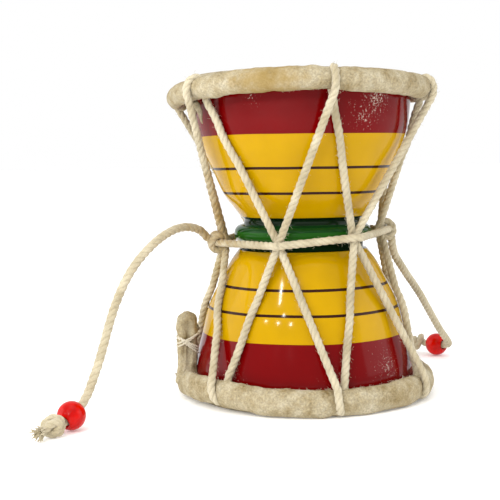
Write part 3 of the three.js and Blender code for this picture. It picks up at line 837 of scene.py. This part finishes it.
def hitchLine(index, lean, shift):
    # a turn of cord round one crossing, leaning and shifted along the drum by some degrees
    azimuth, z = crossings[index]
    points = []
    for a in np.linspace(-150, 150, 13):
        s = math.radians(a)
        radius = lacing["crossingRadius"] + waist["wrap"] - 0.6 + waist["hitchDeep"] * math.cos(s)
        height = z + waist["hitchHigh"] * math.sin(s)
        points.append(around(azimuth + shift + lean * math.sin(s), radius, height))
    return smoothLine(points, 0.7)


waistLines = [beltLine(), hitchLine(5, 3, 2), hitchLine(5, -3, -4), hitchLine(2, 2, 0)]
waistPiece = ropePiece("waist_cord_twisted", waistLines, waist["diameter"], cotton)
print("waist cord tied")

# thin twine that crosses over the tail and holds its two folds together
twine = {"diameter": 0.8, "z": 22.0, "halfWide": 4.05, "halfDeep": 2.85, "turns": 1.15,
         "tilts": [0.78, 0.66, 0.55, -0.6, -0.45]}
twineLay = {"strands": 2, "pitch": 3.2, "step": 0.35, "sides": 6}


def twineLines(v):
    middle = (tail["outer"] + tail["inner"]) / 2
    a = math.radians(tail["azimuth"])
    outward = np.array([math.sin(a), -math.cos(a), 0])
    sideways = np.array([math.cos(a), math.sin(a), 0])
    lines = []
    for k, tilt in enumerate(v["tilts"]):
        points = []
        for t in np.linspace(-90, 360 * v["turns"] - 90, 36):
            s = math.radians(t)
            across = v["halfWide"] * math.cos(s)
            p = outward * (middle + across) + sideways * v["halfDeep"] * math.sin(s) * (1 + 0.06 * k)
            points.append(p + np.array([0, 0, v["z"] + tilt * across + 0.7 * (k - 2)]))
        lines.append(smoothLine(points, 0.4))
    return lines


twinePiece = ropePiece("tail_binding_twine", twineLines(twine), twine["diameter"], whiteTwine, twineLay)
print("tail bound")


def beadMaterial():
    # moulded polystyrene: strong even red under a hard gloss
    material, tree, shader = newMaterial("mouldedPolystyrene")
    place = addNode(tree, "ShaderNodeTexCoord").outputs["Object"]
    cloud = addNode(tree, "ShaderNodeTexNoise", Vector=place, Scale=1 / (3 * mm), Detail=1.0)
    tone = addNode(tree, "ShaderNodeMapRange", Value=cloud.outputs["Fac"], From_Min=0.3, From_Max=0.7)
    colour = addNode(tree, "ShaderNodeMix", {"data_type": "RGBA"},
                     i0=tone.outputs[0], i6=linear("#AC0300"), i7=linear("#CC0900"))
    tree.links.new(colour.outputs[2], shader.inputs["Base Color"])
    shader.inputs["Roughness"].default_value = 0.08
    shader.inputs["IOR"].default_value = 1.59
    shader.inputs["Specular IOR Level"].default_value = 0.14
    return material


# the ball, its hole, the hole's round lip and how far that sinks in, in mm, and where the ball stops, in degrees
bead = {"radius": 5.0, "mouth": 2.0, "lip": 0.35, "sunk": 0.42, "stop": 60, "sides": 48}


def beadPiece(name, centre, direction, material):
    radius, lip, stop = bead["radius"], bead["lip"], bead["stop"]
    profile = []
    for a in np.linspace(-stop, stop, 25):
        profile.append((radius * math.cos(math.radians(a)), radius * math.sin(math.radians(a))))
    face = radius * math.sin(math.radians(stop))
    lipMiddle = bead["mouth"] + lip + 0.1
    # the hole's lip at the upper end, then at the lower one
    for first, height in ((stop, face - bead["sunk"]), (180, bead["sunk"] - face)):
        for a in np.linspace(first, first + 120, 7):
            s = math.radians(a)
            profile.append((lipMiddle + lip * math.cos(s), height + lip * math.sin(s)))
    turn = Vector((0, 0, 1)).rotation_difference(Vector(direction))
    points = []
    for k in range(bead["sides"]):
        for r, z in profile:
            p = turn @ Vector(around(360 * k / bead["sides"], r, z))
            points.append((np.array(p) + centre) * mm)
    return newPiece(name, points, ringFaces(bead["sides"], len(profile)), [material])


redPlastic = beadMaterial()
# the cord's way through an overhand knot, as steps along it, aside and up
knotTurns = [
    (0.3, 0, 0), (2.2, 0.3, 0.6), (4.6, 1.9, 0.9), (5.2, 0.6, -1.4), (3.0, -1.6, -1.2), (1.8, -1.2, 1.4),
    (3.2, 1.0, 1.9), (5.2, 1.6, -0.4), (4.8, -0.8, -1.2), (3.4, -2.0, 0.8), (5.0, -1.2, 1.4),
    (7.2, 0, 0.2), (8.6, 0.3, -0.4),
]
knot = {"gap": 1.7, "stretch": 1.12, "swell": 1.32, "diameter": 3.0, "fibres": 60, "fibre": 0.5, "fray": 3.2,
        "spread": 2.2, "floor": 0.5, "seed": 5}
knotLay = {"strands": 3, "pitch": 7.0, "step": 0.45, "sides": 8}


def knotPiece(name, start, direction, material):
    # an overhand knot pulled up to the bead, then a frayed end
    run = direction / np.linalg.norm(direction)
    side = np.cross(run, [0, 0, 1.0])
    side /= np.linalg.norm(side)
    up = np.cross(side, run)
    swell = knot["swell"]
    points = [start]
    for a, b, c in knotTurns:
        along = run * (a * knot["stretch"] + knot["gap"])
        points.append(start + along + side * b * swell + up * c * swell)
    tied = ropePiece(name, [smoothLine(points, 0.5)], knot["diameter"], material, knotLay)
    # loose fibres past the last turn, each a thin bent tube
    draw = np.random.default_rng(knot["seed"])
    tip = points[-1]
    fibrePoints, fibreFaces = [], []
    steps = np.linspace(0, 1, 6)
    for k in range(knot["fibres"]):
        a, out = draw.uniform(0, 2 * math.pi), math.sqrt(draw.uniform())
        lean = side * math.cos(a) * out + up * math.sin(a) * out
        bend = draw.normal(size=3) * 0.35
        reach = knot["fray"] * draw.uniform(0.7, 1.0)
        line = [tip - run * 1.2 + lean * (0.8 + knot["spread"] * t * t) + run * (1.2 + reach) * t
                + bend * math.sin(3 * t) for t in steps]
        line = [np.array([p[0], p[1], max(p[2], knot["floor"])]) for p in line]
        radii = [knot["fibre"] * (1 - 0.7 * t) for t in steps]
        fibreFaces += tubeFaces(len(line), 5, len(fibrePoints))
        fibrePoints += [p * mm for p in tubePoints(line, radii, 5)]
    fringe = newPiece(name + "Fringe", fibrePoints, fibreFaces, [material])
    # the frayed fibres are kept free of the painted shade between strands
    unshaded = fringe.data.attributes.new("outward", "FLOAT", "POINT")
    unshaded.data.foreach_set("value", [0.85] * len(fibrePoints))
    both = [tied, fringe]
    with bpy.context.temp_override(active_object=tied, object=tied, selected_objects=both,
                                   selected_editable_objects=both):
        bpy.ops.object.join()
    return tied


# each cord's points, which of them its bead sits on, and the way that its knot lies
strikerEnds = {"left": (leftRoute, 18, (-0.42, -1, 0.0)), "right": (rightRoute, 14, (-0.8, 0.7, 0.0))}
beadPieces, knotPieces = {}, {}
for side, (route, index, run) in strikerEnds.items():
    p = np.array(route)
    through = p[index + 1] - p[index - 1]
    beadPieces[side] = beadPiece("striker_bead_" + side + "_moulded", p[index], through, redPlastic)
    knotPieces[side] = knotPiece("striker_knot_" + side + "_tied", p[-1], np.array(run, float), cotton)
print("beads and knots done")

# which solids each piece replaces
fit(shellPiece, ["drum_shell"])
fit(topSkin, ["top_drumhead"])
fit(bottomSkin, ["bottom_drumhead"])
fit(tailSkin, [])
fit(tonguePieces, [])
fit(topEdge, [])
fit(bottomEdge, [])
fit(lacingPiece, ["lacing_rope"])
fit(waistPiece, ["waist_cord"])
for rope, name in ((lacingPiece, "lacing_rope_fibres"), (waistPiece, "waist_cord_fibres")):
    fuzz = fibrePiece(name, rope, cotton)
    print(name, len(fuzz.data.polygons), "faces")
    fit(fuzz, [])
for side in ("left", "right"):
    fit(strikerPieces[side], ["striker_cord_" + side])
    fit(beadPieces[side], ["striker_bead_" + side])
    fit(knotPieces[side], ["striker_knot_" + side])
    line = strikerLines[side] * mm
fit(twinePiece, ["tail_binding"])


def addFloor():
    # white studio paper, which glows a little so that it stays white away from the lamps
    material, tree, shader = newMaterial("paleFloor")
    shader.inputs["Base Color"].default_value = linear("#FFFFFF")
    shader.inputs["Emission Color"].default_value = linear("#FFFFFF")
    shader.inputs["Emission Strength"].default_value = 0.14
    shader.inputs["Roughness"].default_value = 0.6
    reach = 12.0
    corners = [(-reach, -reach, 0), (reach, -reach, 0), (reach, reach, 0), (-reach, reach, 0)]
    floor = newPiece("floor", corners, [(0, 1, 2, 3)], [material], smooth=False)


def addLamp(name, place, target, width, height, power):
    data = bpy.data.lights.new(name, "AREA")
    data.shape = "RECTANGLE"
    data.size, data.size_y = width, height
    data.energy = power
    lamp = bpy.data.objects.new(name, data)
    lamp.location = place
    lamp.rotation_euler = (Vector(target) - Vector(place)).to_track_quat("-Z", "Y").to_euler()
    bpy.context.scene.collection.objects.link(lamp)


# metres and watts; the bulbs' rows give how high each row stands and how far round its bulbs are, in degrees
lighting = {
    "worldBehind": 1.0, "worldFront": 0.8, "sidePower": 1.6, "topPower": 1.6,
    "panelTarget": (0, 0, 0.06), "sidePanel": 0.6, "topPanel": 0.8,
    "bulbRows": {45: (-35, -5), 35: (-25,), 25: (-45, -30, -15)}, "bulbDistance": 0.9,
    "bulbPower": 0.75, "bulbSize": (0.02, 0.045), "bulbTarget": (0, 0, 0.05),
}


def addLight(v):
    # a bright studio behind and beside the drum, darker in front of it
    world = bpy.data.worlds.new("softStudio")
    bpy.context.scene.world = world
    world.use_nodes = True
    tree = world.node_tree
    direction = addNode(tree, "ShaderNodeTexCoord").outputs["Generated"]
    split = addNode(tree, "ShaderNodeSeparateXYZ", Vector=direction)
    strength = addNode(tree, "ShaderNodeMapRange", {"interpolation_type": "SMOOTHSTEP"},
                       Value=split.outputs["Y"], From_Min=-0.75, From_Max=-0.1,
                       To_Min=v["worldFront"], To_Max=v["worldBehind"])
    sky = tree.nodes["Background"]
    sky.inputs[0].default_value = linear("#FFFFFF")
    tree.links.new(strength.outputs[0], sky.inputs[1])
    for name, x in (("leftPanel", -0.9), ("rightPanel", 0.9)):
        addLamp(name, (x, -0.1, 0.35), v["panelTarget"], v["sidePanel"], v["sidePanel"], v["sidePower"])
    addLamp("topPanel", (0, -0.25, 1.1), v["panelTarget"], v["topPanel"], v["topPanel"], v["topPower"])
    # small bulbs high in front, seen as points in the lacquer
    for rise, turns in v["bulbRows"].items():
        height = v["bulbDistance"] * math.sin(math.radians(rise))
        out = v["bulbDistance"] * math.cos(math.radians(rise))
        for turn in turns:
            place = (out * math.sin(math.radians(turn)), -out * math.cos(math.radians(turn)), height)
            name = "bulb" + str(rise) + "_" + str(-turn)
            addLamp(name, place, v["bulbTarget"], *v["bulbSize"], v["bulbPower"])


addFloor()
addLight(lighting)
print("floor and light set")
